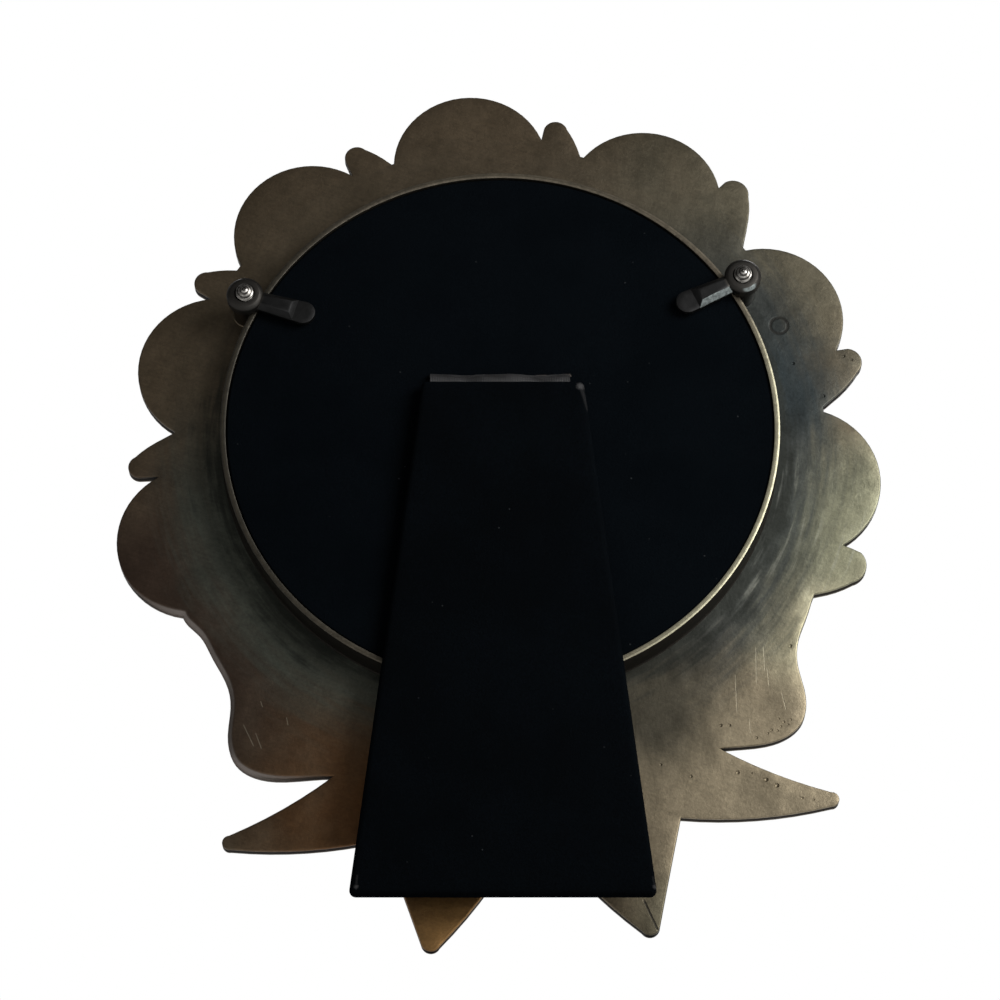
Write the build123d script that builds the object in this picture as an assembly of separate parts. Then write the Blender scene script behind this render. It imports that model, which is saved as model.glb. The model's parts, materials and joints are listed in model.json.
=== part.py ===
"""Round photo frame: a cast rose wreath with a bow, glass, and a velvet easel back under turn clips."""
from build123d import *
from math import cos, radians, sin
import os

# Sizes are in millimetres and angles in degrees.
# Every piece is drawn as seen from behind: u runs right, v up, w out of the back.
# The middle of the round opening is at u = v = 0 and the plate's back face at w = 0.

# Cast plate and the collar soldered to its back
COLLAR_R = 45.0
COLLAR_WALL = 0.9
COLLAR_H = 5.8
PLATE_T = 2.6
LIP_T = 1.3
LIP_WIDTH = 4.0
BAND_MARGIN = 8.0
BEAD_R = 1.4

# Seven roses round the opening, from the lower right to the lower left
ROSE_R = 13.1
ROSE_PITCH = 34.9
WREATH_AXIS = 91.4
ROSE_OUT = (5.2, 4.4, 5.0, 5.7, 4.1, 3.8, 7.9)
ROSE_SPIN = 25.0
BLOOM_SHIFT = 2.8
PETAL_DRAFT = 0.8
PETAL_TIERS = ((5, 4.9, 4.9, 2.2), (5, 3.7, 3.2, 4.2), (3, 2.5, 1.8, 5.8))
BUD_R = 1.7
BUD_H = 6.8

# One leaf on the clockwise side of each rose
LEAF_LAG = (12.0, 12.0, 11.5, 14.6, 14.8, 14.6, 14.7)
LEAF_OUT = (18.9, 16.7, 17.3, 14.4, 14.2, 13.7, 16.3)
LEAF_WIDE = (1.35, 1.15, 1.2, 1.0, 1.0, 1.0, 0.95)
LEAF_H = 1.6
LEAF_BASE = (4.5, -16.5)
LEAF_BROAD = ((8.0, -12.0), (6.6, -8.2), (4.2, -3.3), (2.5, -1.0))
LEAF_TIP = ((0.2, 0.2), (-1.45, -1.5))
LEAF_NARROW = ((-1.6, -5.0), (-0.5, -11.5))
RIB_LENGTH = 11.0
RIB_START = 1.5
RIB_LEAN = 15.0
RIB_WIDTH = 0.8
RIB_H = 0.5

# Right half of the ribbon bow, from the middle of its knot
BOW_DROP = 7.5
LOOP_SHOULDER = 12.0
PLATE_SHOULDER = 40.0
LOOP_SWAY = -0.9
LOOP_EDGE = (
    (53.0, 27.0), (52.0, 23.6), (50.2, 21.6), (48.6, 18.2), (46.3, 13.0), (45.8, 9.3),
    (46.5, 4.2), (45.3, -1.0), (42.0, -3.3), (37.5, -4.1), (31.0, -4.2),
)
SIDE_TAIL_TOP = ((39.5, -9.1), (47.9, -12.7))
SIDE_TAIL_TIP = ((49.1, -13.9), (47.8, -15.1))
SIDE_TAIL_FOOT = ((38.0, -16.1), (23.7, -15.2))
DOWN_TAIL_SIDE = ((21.7, -22.2), (18.8, -32.6))
DOWN_TAIL_TIP = ((17.6, -33.9), (15.9, -33.2))
DOWN_TAIL_INSIDE = ((9.2, -26.4), (0.0, -13.5))
LOOP_H = 3.4
TAIL_H = 1.8
LOOP_REACH_IN = 3.0
EYE_CENTRE = (27.0, 2.5)
EYE_RADII = (11.0, 3.4)
EYE_TILT = 10.0
EYE_DEPTH = 1.5
KNOT_SIZE = (13.0, 12.0)
KNOT_CORNER = 4.0
KNOT_H = 5.0

# Two threaded studs in cast bosses, with a turn clip on each
STUD_ANGLES = {"left": 147.9, "right": 28.2}
ARM_ANGLES = {"left": -20.8, "right": 200.8}
STUD_R = 1.5
STUD_SETBACK = 1.9
STUD_DEPTH = 5.0
STUD_FREE = 1.5
STUD_TIP_R = 1.1
THREAD_PITCH = 0.5
THREAD_DEPTH = 0.3
THREAD_TURNS = 2
BOSS_R = 2.3
BOSS_RISE = 0.2
CLIP_LIFT = 0.1
CLIP_BORE_GAP = 0.05
HUB_R = 3.05
HUB_H = 2.3
HUB_CHAMFER = 0.6
ARM_LENGTH = 12.1
ARM_NECK = 2.9
ARM_TIP_R = 2.0
ARM_T = 1.0
RIDGE_END = 8.8
RIDGE_H = 0.9
RIDGE_SLOPE = 45.0

# Flat pieces stacked in the collar, from the glass to the velvet
STACK_GAP = 0.3
GLASS_T = 2.0
PRINT_T = 0.3
FILLER_T = 1.6
TURN_GAP = 0.1
LINING_T = 0.25
BOARD_T = 2.1
VELVET_T = 0.35

# Easel back: it sits turned a few degrees in the collar
BACK_TURN = -4.3
RIBBON_W = 23.0
RIBBON_T = 0.25
RIBBON_TAB = 12.0
RIBBON_FOLD_R = 0.4
SLOT_W = 0.7
SLOT_SIDE = 0.5
HINGE_V = 7.15

# Strut, hung on the ribbon
STRUT_SHIFT = 0.45
STRUT_DROP = 1.1
STRUT_L = 86.8
STRUT_TOP_W = 26.6
STRUT_FOOT_W = 48.0
STRUT_CORNER = 1.0
STRUT_CLEAR = 0.3
STRUT_LINING_T = 0.3
STRUT_BOARD_T = 1.5
SEAT_CLEAR = 0.02

# Stay ribbon folded between the back and the strut
STAY_W = 10.0
STAY_T = 0.15
STAY_LEG = 14.0
STAY_FROM_HINGE = 43.0

# Places along w, worked out from the sizes
SEAT_W = LIP_T - PLATE_T
PLATE_FRONT = -PLATE_T
BLOOM_FRONT = PLATE_FRONT - BUD_H
BOSS_TOP = COLLAR_H + BOSS_RISE
CLIP_FOOT = BOSS_TOP + CLIP_LIFT
STUD_TOP = CLIP_FOOT + HUB_H + STUD_FREE
PRINT_W = SEAT_W + GLASS_T
FILLER_W = PRINT_W + PRINT_T
LINING_W = FILLER_W + FILLER_T + TURN_GAP
BOARD_W = LINING_W + LINING_T
VELVET_W = BOARD_W + BOARD_T
BACK_TOP = VELVET_W + VELVET_T
STRUT_W = COLLAR_H + STRUT_CLEAR
STRUT_BOARD_W = STRUT_W + STRUT_LINING_T
STRUT_VELVET_W = STRUT_BOARD_W + STRUT_BOARD_T
STRUT_TOP = STRUT_VELVET_W + VELVET_T

# Places across the frame, worked out from the sizes
OPENING_R = COLLAR_R - LIP_WIDTH
COLLAR_OUT_R = COLLAR_R + COLLAR_WALL
BAND_R = COLLAR_OUT_R + BAND_MARGIN
STUD_REACH = COLLAR_OUT_R + STUD_SETBACK
STACK_R = COLLAR_R - STACK_GAP
BOARD_R = STACK_R - VELVET_T
BOW_V = -(COLLAR_R + BOW_DROP)
TAB_POCKET = RIBBON_T + SEAT_CLEAR
BEND_R = STRUT_BOARD_W + RIBBON_T / 2 - BACK_TOP
SLOT_V = HINGE_V + BEND_R
STRUT_HEAD = HINGE_V - STRUT_DROP
FOOT_V = STRUT_HEAD - STRUT_L


def polar(reach, angle):
    """Return the point at this distance and direction from the middle of the opening."""
    return reach * cos(radians(angle)), reach * sin(radians(angle))


def disc(radius, low, thickness):
    """Return a flat disc about the w axis, standing on the level low."""
    return extrude(Pos(0, 0, low) * Circle(radius), thickness)


def slab(face, low, thickness):
    """Raise a flat outline from the level low."""
    return extrude(Pos(0, 0, low) * face, thickness)


# Casting

def rose_places():
    """Return each rose's direction and the distance of its scallop from the middle."""
    middle = len(ROSE_OUT) // 2
    return [
        (WREATH_AXIS + ROSE_PITCH * (place - middle), COLLAR_R + out)
        for place, out in enumerate(ROSE_OUT)
    ]


def widened(points, wide):
    """Return these points with their distances across made this many times as wide."""
    return [(u * wide, v) for u, v in points]


def leaf_face(wide):
    """Return one leaf with its tip at the origin and its stem towards the opening."""
    base = (LEAF_BASE[0] * wide, LEAF_BASE[1])
    broad = widened(LEAF_BROAD, wide)
    tip = widened(LEAF_TIP, wide)
    narrow = widened(LEAF_NARROW, wide)
    edges = [Spline(base, *broad), ThreePointArc(broad[-1], *tip), Spline(tip[-1], *narrow, base)]
    return make_face(edges)


def leaf_places():
    """Return the place and turn of each leaf's tip, and how wide the leaf is."""
    places = []
    for (angle, _), lag, out, wide in zip(rose_places(), LEAF_LAG, LEAF_OUT, LEAF_WIDE):
        tip_angle = angle - lag
        u, v = polar(COLLAR_R + out, tip_angle)
        places.append((Pos(u, v, 0) * Rot(0, 0, tip_angle - 90), wide))
    return places


def half_bow(shoulder, sway):
    """Return the right half of the bow, its loop moved out by sway, shut at this height above the knot."""
    loop_edge = [(u + sway, v) for u, v in LOOP_EDGE[:-1]] + [LOOP_EDGE[-1]]
    loop = Spline(*loop_edge)
    side_top = ThreePointArc(LOOP_EDGE[-1], *SIDE_TAIL_TOP)
    side_tip = ThreePointArc(SIDE_TAIL_TOP[-1], *SIDE_TAIL_TIP)
    side_foot = ThreePointArc(SIDE_TAIL_TIP[-1], *SIDE_TAIL_FOOT)
    down_side = ThreePointArc(SIDE_TAIL_FOOT[-1], *DOWN_TAIL_SIDE)
    down_tip = ThreePointArc(DOWN_TAIL_SIDE[-1], *DOWN_TAIL_TIP)
    inside = ThreePointArc(DOWN_TAIL_TIP[-1], *DOWN_TAIL_INSIDE)
    shut = Polyline(DOWN_TAIL_INSIDE[-1], (0, shoulder), loop_edge[0])
    edges = [loop, side_top, side_tip, side_foot, down_side, down_tip, inside, shut]
    return Pos(0, BOW_V) * make_face(edges)


def plate_face():
    """Return the scalloped outline of the plate, with the bow."""
    face = Circle(BAND_R)
    for angle, reach in rose_places():
        face += Pos(*polar(reach, angle)) * Circle(ROSE_R)
    for place, wide in leaf_places():
        face += place * leaf_face(wide)
    left_half = mirror(half_bow(PLATE_SHOULDER, -LOOP_SWAY), Plane.YZ)
    return face + half_bow(PLATE_SHOULDER, LOOP_SWAY) + left_half


def bloom(spin):
    """Return one rose: tiers of round petals that step up to a bud, facing the front."""
    bud = Pos(0, 0, BUD_H / 2) * Cone(BUD_R, BUD_R - PETAL_DRAFT, BUD_H)
    petals = []
    for tier, (count, radius, out, height) in enumerate(PETAL_TIERS):
        petal = Pos(out, 0, height / 2) * Cone(radius, radius - PETAL_DRAFT, height)
        step = 360 / count
        petals += [Rot(0, 0, spin + (place + tier / 2) * step) * petal for place in range(count)]
    return Rot(180, 0, 0) * (bud + petals)


def half_relief(sway):
    """Return the right half of the raised bow: two tails and a hollowed loop."""
    half = half_bow(LOOP_SHOULDER, sway)
    tails = slab(half, PLATE_FRONT - TAIL_H, TAIL_H)
    above_notch = Pos(0, BOW_V + LOOP_EDGE[-1][1]) * Rectangle(
        3 * LOOP_EDGE[0][0], 2 * LOOP_EDGE[0][1], align=(Align.CENTER, Align.MIN))
    loop = slab(half & above_notch, PLATE_FRONT - LOOP_H, LOOP_H)
    eye = Pos(EYE_CENTRE[0], BOW_V + EYE_CENTRE[1]) * Rot(0, 0, EYE_TILT) * Ellipse(*EYE_RADII)
    loop -= slab(eye, PLATE_FRONT - LOOP_H, EYE_DEPTH)
    return tails + loop - disc(COLLAR_R + LOOP_REACH_IN, PLATE_FRONT - LOOP_H, LOOP_H)


def bow_relief():
    """Return the raised bow on the front: both halves and the knot."""
    knot = slab(
        Pos(0, BOW_V) * RectangleRounded(*KNOT_SIZE, KNOT_CORNER), PLATE_FRONT - KNOT_H, KNOT_H)
    return half_relief(LOOP_SWAY) + mirror(half_relief(-LOOP_SWAY), Plane.YZ) + knot


def bead():
    """Return the round bead along the front of the opening."""
    return Pos(0, 0, PLATE_FRONT) * Torus(OPENING_R + BEAD_R, BEAD_R)


def leaf_rib():
    """Return the raised middle rib of one leaf, drawn from its tip."""
    rib = Pos(0, -RIB_START) * Rectangle(RIB_WIDTH, RIB_LENGTH, align=(Align.CENTER, Align.MAX))
    return slab(Rot(0, 0, RIB_LEAN) * rib, PLATE_FRONT - LEAF_H - RIB_H, LEAF_H + RIB_H)


def stud_boss(side):
    """Return the cast boss that carries one stud, cut to the collar's outside."""
    place = Pos(*polar(STUD_REACH, STUD_ANGLES[side]))
    boss = slab(place * Circle(BOSS_R), 0, BOSS_TOP)
    return boss - disc(COLLAR_OUT_R, 0, BOSS_TOP)


def frame_casting():
    """Return the whole casting: plate, lip, bosses, and the wreath and bow on its front."""
    raised = [bead(), bow_relief()]
    for place, (angle, reach) in enumerate(rose_places()):
        middle = Pos(*polar(reach + BLOOM_SHIFT, angle), PLATE_FRONT)
        raised.append(middle * bloom(angle + place * ROSE_SPIN))
    for place, wide in leaf_places():
        raised += [slab(place * leaf_face(wide), PLATE_FRONT - LEAF_H, LEAF_H), place * leaf_rib()]
    raised += [stud_boss(side) for side in STUD_ANGLES]
    body = slab(plate_face(), PLATE_FRONT, PLATE_T) + raised
    cuts = [disc(OPENING_R, BLOOM_FRONT, BUD_H + PLATE_T), disc(COLLAR_R, SEAT_W, -SEAT_W)]
    for angle in STUD_ANGLES.values():
        hole = Pos(*polar(STUD_REACH, angle)) * Circle(STUD_R)
        cuts.append(slab(hole, BOSS_TOP - STUD_DEPTH, STUD_DEPTH))
    return body - cuts


def collar_ring():
    """Return the plain ring that holds the glass and the back."""
    return disc(COLLAR_OUT_R, 0, COLLAR_H) - disc(COLLAR_R, 0, COLLAR_H)


# Studs and turn clips

def stud(side):
    """Return one threaded stud, with its thread drawn as rings on the free end."""
    foot = BOSS_TOP - STUD_DEPTH
    thread_start = STUD_TOP - (THREAD_TURNS + 1) * THREAD_PITCH
    outline = [(0, foot), (STUD_R, foot), (STUD_R, thread_start)]
    for turn in range(THREAD_TURNS):
        level = thread_start + turn * THREAD_PITCH
        outline.append((STUD_R - THREAD_DEPTH, level + THREAD_PITCH / 2))
        outline.append((STUD_R, level + THREAD_PITCH))
    outline += [(STUD_TIP_R, STUD_TOP), (0, STUD_TOP)]
    section = Plane.XZ * make_face(Polyline(*outline, close=True))
    return Pos(*polar(STUD_REACH, STUD_ANGLES[side])) * revolve(section, Axis.Z)


def turn_clip(side):
    """Return one turn clip: a bored hub, and an arm with a sloping ridge and a flat round end."""
    arm_end = ARM_LENGTH - ARM_TIP_R
    outline = Circle(ARM_TIP_R).moved(Pos(arm_end, 0))
    neck = [(0, ARM_NECK / 2), (0, -ARM_NECK / 2)]
    outline += make_face(Polyline(*neck, (arm_end, -ARM_TIP_R), (arm_end, ARM_TIP_R), close=True))
    arm = extrude(outline, ARM_T)
    half = ARM_NECK / 2 + (ARM_TIP_R - ARM_NECK / 2) * RIDGE_END / arm_end
    ridge = make_face(Polyline(*neck, (RIDGE_END, -half), (RIDGE_END, half), close=True))
    arm += extrude(Pos(0, 0, ARM_T) * ridge, RIDGE_H, taper=RIDGE_SLOPE)
    hub = extrude(Circle(HUB_R), HUB_H)
    hub = chamfer(hub.faces().sort_by(Axis.Z)[-1].edges(), HUB_CHAMFER)
    clip = hub + arm - extrude(Circle(STUD_R + CLIP_BORE_GAP), HUB_H)
    place = Pos(*polar(STUD_REACH, STUD_ANGLES[side]), CLIP_FOOT)
    return place * Rot(0, 0, ARM_ANGLES[side]) * clip


# Flat pieces in the collar

def slot_face(width):
    """Return the opening in the back where the hinge ribbon comes out."""
    return Pos(0, SLOT_V) * Rectangle(RIBBON_W + 2 * SLOT_SIDE, width)


def back_board():
    """Return the stiff board of the back, with the ribbon's slot and its glued pocket."""
    pocket = Pos(0, SLOT_V - SLOT_W / 2) * Rectangle(
        RIBBON_W + 2 * SLOT_SIDE, RIBBON_TAB + SLOT_W, align=(Align.CENTER, Align.MIN))
    board = disc(BOARD_R, BOARD_W, BOARD_T)
    return board - slab(slot_face(SLOT_W), BOARD_W, BOARD_T) - slab(pocket, BOARD_W, TAB_POCKET)


def back_velvet():
    """Return the velvet over the board's back, turned down over its edge."""
    cover = disc(STACK_R, BOARD_W, BOARD_T + VELVET_T) - disc(BOARD_R, BOARD_W, BOARD_T)
    return cover - slab(slot_face(SLOT_W), VELVET_W, VELVET_T)


def across(profile, width):
    """Sweep a profile drawn in v and w evenly across u."""
    return extrude(Plane.YZ * profile, width / 2, both=True)


def hinge_ribbon():
    """Return the ribbon that comes out of the back, bends round the hinge line and enters the strut."""
    tab_level = BOARD_W + RIBBON_T / 2
    strut_level = BACK_TOP + BEND_R
    path = FilletPolyline(
        (SLOT_V + RIBBON_TAB, tab_level), (SLOT_V, tab_level), (SLOT_V, strut_level),
        (STRUT_HEAD - RIBBON_TAB, strut_level), radius=[RIBBON_FOLD_R, BEND_R])
    return across(trace(path, line_width=RIBBON_T), RIBBON_W)


def stay_ribbon():
    """Return the ribbon that stops the strut, folded flat between it and the back."""
    low = BACK_TOP + STAY_T / 2
    high = STRUT_W - STAY_T / 2
    fold = HINGE_V - STAY_FROM_HINGE
    fold_r = (high - low) / 2
    lower_leg = Line((fold + STAY_LEG, low), (fold, low))
    bend = ThreePointArc((fold, low), (fold - fold_r, low + fold_r), (fold, high))
    upper_leg = Line((fold, high), (fold + STAY_LEG, high))
    return across(trace([lower_leg, bend, upper_leg], line_width=STAY_T), STAY_W)


# Strut

def strut_outline(inset):
    """Return the strut's tapered outline, drawn in on every side by inset."""
    half_top = STRUT_TOP_W / 2
    half_foot = STRUT_FOOT_W / 2
    head = [(-half_top, STRUT_HEAD), (half_top, STRUT_HEAD)]
    foot = [(half_foot, FOOT_V), (-half_foot, FOOT_V)]
    whole = make_face(Polyline(*head, *foot, close=True))
    rounded = fillet(whole.vertices(), STRUT_CORNER)
    if inset > 0:
        rounded = offset(rounded, -inset)
    return Pos(STRUT_SHIFT, 0) * rounded


def ribbon_pocket(low, length):
    """Return the space that the hinge ribbon takes up inside the strut's head."""
    face = Pos(0, STRUT_HEAD) * Rectangle(
        RIBBON_W + 2 * SLOT_SIDE, length, align=(Align.CENTER, Align.MAX))
    return slab(face, low, TAB_POCKET)


def strut_board():
    """Return the strut's stiff core, with the pocket that the ribbon is glued into."""
    core = slab(strut_outline(VELVET_T), STRUT_BOARD_W, STRUT_BOARD_T)
    return core - ribbon_pocket(STRUT_BOARD_W, RIBBON_TAB + SLOT_SIDE)


def strut_velvet():
    """Return the velvet over the strut's outer face and edges, open where the ribbon enters."""
    cover = slab(strut_outline(0), STRUT_W, STRUT_TOP - STRUT_W)
    cover -= slab(strut_outline(VELVET_T), STRUT_W, STRUT_VELVET_W - STRUT_W)
    return cover - ribbon_pocket(STRUT_BOARD_W, STRUT_CORNER)


def strut_lining():
    """Return the plain cloth on the strut's inner face."""
    return slab(strut_outline(VELVET_T), STRUT_W, STRUT_LINING_T)


# Placing and writing the pieces

def row_place(casting):
    """Return where the drawing goes: upright, front towards -Y, its lowest point on the table at Z = 0."""
    box = casting.bounding_box()
    middle_u = (box.min.X + box.max.X) / 2
    middle_w = (BLOOM_FRONT + STUD_TOP) / 2
    upright = Plane(origin=(middle_u, -middle_w, -box.min.Y), x_dir=(-1, 0, 0), z_dir=(0, 1, 0))
    return upright.location


def pieces():
    """Return every piece by name, on the casting's own lines or on those of the turned back."""
    turned = Rot(0, 0, BACK_TURN)
    return {
        "frame_casting": frame_casting(),
        "collar_ring": collar_ring(),
        "glass_disc": disc(STACK_R, SEAT_W, GLASS_T),
        "photo_print": disc(STACK_R, PRINT_W, PRINT_T),
        "filler_card": disc(STACK_R, FILLER_W, FILLER_T),
        "left_stud": stud("left"),
        "right_stud": stud("right"),
        "left_turn_clip": turn_clip("left"),
        "right_turn_clip": turn_clip("right"),
        "back_lining": disc(BOARD_R, LINING_W, LINING_T),
        "back_board": turned * back_board(),
        "back_velvet": turned * back_velvet(),
        "hinge_ribbon": turned * hinge_ribbon(),
        "stay_ribbon": turned * stay_ribbon(),
        "strut_board": turned * strut_board(),
        "strut_velvet": turned * strut_velvet(),
        "strut_lining": turned * strut_lining(),
    }


def main():
    os.makedirs("parts", exist_ok=True)
    shapes = pieces()
    place = row_place(shapes["frame_casting"])
    for name, shape in shapes.items():
        export_step(place * shape, f"parts/{name}.step")
    turned = place * Rot(0, 0, BACK_TURN)
    points = {
        "opening centre": place * Pos(0, 0, 0),
        "strut hinge line": turned * Pos(0, HINGE_V, BACK_TOP),
        "strut foot": turned * Pos(STRUT_SHIFT, FOOT_V, (STRUT_W + STRUT_TOP) / 2),
        "left stud": place * Pos(*polar(STUD_REACH, STUD_ANGLES["left"]), CLIP_FOOT),
        "right stud": place * Pos(*polar(STUD_REACH, STUD_ANGLES["right"]), CLIP_FOOT),
    }
    for name, point in points.items():
        print(name, [round(value, 3) for value in point.position])


main()
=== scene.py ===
import json
from math import atan2, cos, hypot, pi, radians, sin, tau

import bmesh
import bpy
import numpy as np
from mathutils import Matrix, Vector
from mathutils.geometry import delaunay_2d_cdt
from mathutils.kdtree import KDTree

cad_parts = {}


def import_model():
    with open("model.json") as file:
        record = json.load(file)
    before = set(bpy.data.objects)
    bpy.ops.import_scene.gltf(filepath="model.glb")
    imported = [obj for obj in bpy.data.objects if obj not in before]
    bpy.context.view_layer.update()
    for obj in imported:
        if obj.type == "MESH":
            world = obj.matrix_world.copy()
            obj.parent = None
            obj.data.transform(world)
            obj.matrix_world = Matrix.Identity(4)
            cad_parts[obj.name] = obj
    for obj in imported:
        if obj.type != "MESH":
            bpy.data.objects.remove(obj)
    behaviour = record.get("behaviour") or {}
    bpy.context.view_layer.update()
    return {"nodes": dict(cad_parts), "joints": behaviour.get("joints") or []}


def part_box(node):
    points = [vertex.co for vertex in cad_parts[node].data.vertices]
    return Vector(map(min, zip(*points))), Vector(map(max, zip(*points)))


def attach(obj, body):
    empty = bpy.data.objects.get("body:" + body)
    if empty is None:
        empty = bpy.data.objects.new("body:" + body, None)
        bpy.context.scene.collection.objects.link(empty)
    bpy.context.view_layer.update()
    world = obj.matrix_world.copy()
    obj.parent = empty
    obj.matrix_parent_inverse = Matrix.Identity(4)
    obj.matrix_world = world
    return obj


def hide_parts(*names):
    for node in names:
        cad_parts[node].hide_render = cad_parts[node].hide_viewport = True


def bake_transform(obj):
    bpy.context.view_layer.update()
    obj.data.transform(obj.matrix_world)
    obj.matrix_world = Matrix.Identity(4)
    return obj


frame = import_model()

MM = 0.001
SQUARE = ((-1, -1), (1, -1), (1, 1), (-1, 1))

# Places read from the frame
JOINTS = {joint["name"]: joint for joint in frame["joints"]}
CENTRE_X, _, CENTRE_Z = JOINTS["back_turn"]["pos_m"]
PLATE_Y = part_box("collar_ring")[0].y
HINGE_AXIS = JOINTS["easel_hinge"]["axis"]
BACK_TURN = -atan2(HINGE_AXIS[2], HINGE_AXIS[0])


def levels(node):
    """Return how far out of the back a CAD node starts and ends."""
    low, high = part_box(node)
    return (low.y - PLATE_Y) / MM, (high.y - PLATE_Y) / MM


def middle_of(joint):
    """Return the drawn place of a joint's axis."""
    x, _, z = JOINTS[joint]["pos_m"]
    return np.array([(CENTRE_X - x) / MM, (z - CENTRE_Z) / MM])


RIM_W = levels("collar_ring")[1]
BACK_LOW_W, BACK_TOP_W = levels("back_velvet")
STRUT_LOW_W, STRUT_TOP_W = levels("strut_velvet")
CLIP_LOW_W, CLIP_TOP_W = levels("left_turn_clip")
STUD_LOW_W, STUD_TOP_W = levels("left_stud")
HINGE_V = float(np.linalg.norm(middle_of("easel_hinge")))

# Casting
PLATE_T = 2.6
SEAT_W = -1.3
OPENING_R = 41.0
COLLAR_R = 45.0
COLLAR_OUT_R = 45.9
COLLAR_EDGE = 0.1
COLLAR_FOOT = 0.2
RIM_GROOVE_R = (COLLAR_R + COLLAR_OUT_R) / 2 + 0.05
OUTLINE_STEP = 0.6
BACK_EDGE_R = 0.25
FRONT_EDGE_R = 0.8
PALE_EDGE = (-50.0, -42.0)
PALE_EDGE_R = 0.8
PALE_REACH = (14.0, 26.0)
EDGE_STEPS = 5
BACK_STEP = 2.0
FRONT_STEP = 0.4
WEAR_SPREAD = 34
BOSS_R = 2.3
BOSS_TOP_W = 6.0
BOSS_FOOT = 0.15
BOSS_EDGE = 0.25
PIN_MARK = (48.1, 16.7)
PIN_MARK_R = 1.45
CREASE = ((16.5, -80.5), (18.4, -85.9))
CREASE_HALF = 0.22
SCRATCH_HALF = 0.11
BLUE_SPOT = (47.5, 6.0)
# Middle of a painted shadow of the strut on the back, with some soot
SOOT_AND_STRUT_SHADOW = (21.0, -49.0)
SWEPT_SPOT = (48.0, -24.0)
# Middle of the collar rim's bright spot: partly brass worn clean, partly a painted highlight
BRIGHT_RIM = (46.0, -22.0)

# Patches on the back, one over another: middle, where it fades, strength, whether it is ragged, colour
PLAIN_BROWN = (80, 69, 54)
PATCHES = {
    # The rubbed and bright patches low on the right are partly rubbed metal and partly painted light on the
    # side the light comes from; the patch on the left side is partly tarnish and partly painted shade.
    "rubbed": ((43.0, -52.0), (12.0, 70.0), 1.0, True, (116, 106, 87)),
    "green": ((53.0, -22.0), (6.0, 30.0), 1.0, True, (108, 107, 88)),
    "upper": ((48.0, 30.0), (10.0, 50.0), 0.75, True, (81, 78, 65)),
    "bright": ((46.0, -37.0), (2.0, 13.0), 0.8, False, (142, 136, 112)),
    "dark tail": ((22.0, -84.0), (3.0, 12.0), 0.9, False, (76, 72, 58)),
    "dark left and shade": ((-56.0, -30.0), (10.0, 44.0), 1.0, True, (58, 46, 37)),
    "warm": ((-20.0, -62.0), (4.0, 30.0), 1.0, True, (88, 59, 32)),
    "warm tail": ((-12.0, -84.0), (4.0, 15.0), 0.8, False, (140, 106, 62)),
}
SOFT_SHAKE = 0.4

# Pits in the casting, with their radii, and scratches from end to end
PITS = (
    (31.5, -52.8, 0.3), (32.9, -52.9, 0.28), (37.0, -55.3, 0.25), (38.9, -54.7, 0.22), (39.5, -54.2, 0.25),
    (40.5, -54.4, 0.2), (41.1, -53.7, 0.22), (41.6, -53.0, 0.25), (42.3, -53.5, 0.2), (42.8, -52.7, 0.2),
    (44.0, -40.2, 0.35), (40.9, -52.4, 0.18), (21.3, -58.7, 0.25), (25.9, -61.0, 0.3), (33.4, -60.9, 0.35),
    (35.6, -61.2, 0.2), (37.8, -62.4, 0.4), (39.4, -63.5, 0.42), (43.2, -65.9, 0.25), (45.0, -66.3, 0.2),
    (49.7, 9.6, 0.35), (58.3, 10.3, 0.3), (59.6, 9.5, 0.25), (54.2, 3.3, 0.28),
)
SCRATCHES = (
    ((34.7, -44.1), (34.3, -51.1)), ((38.5, -39.7), (37.9, -46.5)), ((39.7, -39.8), (39.5, -44.4)),
    ((39.9, -43.5), (39.9, -47.2)), ((41.8, -47.9), (42.2, -51.1)), ((36.2, -52.0), (36.1, -54.6)),
    ((-44.8, -46.8), (-43.2, -50.9)), ((-42.9, -48.4), (-42.0, -51.4)), ((-37.8, -46.2), (-37.6, -47.7)),
    ((-41.8, -43.2), (-41.5, -44.3)),
)

# Roses, leaves and bow on the front
PETAL_TIERS = ((5, 4.9, 4.9, 2.3), (5, 3.7, 3.2, 4.2), (3, 2.5, 1.8, 5.7))
ROSE_SPIN = radians(25)
BUD_R = 1.8
BUD_H = 6.7
LEAF_LAG = (12.0, 12.0, 11.5, 14.6, 14.8, 14.6, 14.7)
LEAF_OUT = (18.9, 16.7, 17.3, 14.4, 14.2, 13.7, 16.3)
LEAF_WIDE = (1.35, 1.15, 1.2, 1.0, 1.0, 1.0, 0.95)
LEAF_LEAN = radians(15)
LEAF_L = 17.5
LEAF_HALF = 4.8
LEAF_H = 1.7
BEAD_R = 1.4
BOW_V = -52.5
LOOP_H = 3.3
TAIL_H = 1.7
SHOULDER = (12.0, 0.283)
NOTCH_V = -4.2
EYE = (27.0, 2.5)
EYE_RADII = (11.5, 3.8)
EYE_COS, EYE_SIN = 0.985, 0.174
EYE_DEPTH = 1.7
KNOT_HALF = (6.5, 6.0)
KNOT_H = 5.0
TAIL_AXES = (radians(-17), radians(-61))

# Studs and clips
STUD_R = 1.5
THREAD_PITCH = 0.5
THREAD_DEPTH = 0.25
RING_STEP = 0.46
STUD_SIDES = 48
THREAD_STEPS = 9
STUD_TIP = ((0.4, 0.08), (0.3, 0.02), (0.0, 0.0))
HUB_R = 3.05
HUB_CHAMFER = 0.6
BORE_R = 1.55
ARM_LENGTH = 12.1
ARM_NECK = 1.45
ARM_ROOT = 2.0
ARM_TIP_R = 2.0
ARM_T = 1.0
ARM_STEP = 0.8
RIDGE_ROOT = 1.7
RIDGE_END = 8.8
RIDGE_H = 0.9
# The clips' painted glint: the facing of the flank that catches it, and how much of it each clip gets
GLINT_FLANK = (-0.25, 0.71, -0.66)
GLINT_SHARE = {"left": 0.03, "right": 0.9}
ARM_ANGLES = {"left": radians(-20.8), "right": radians(200.8)}

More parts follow.
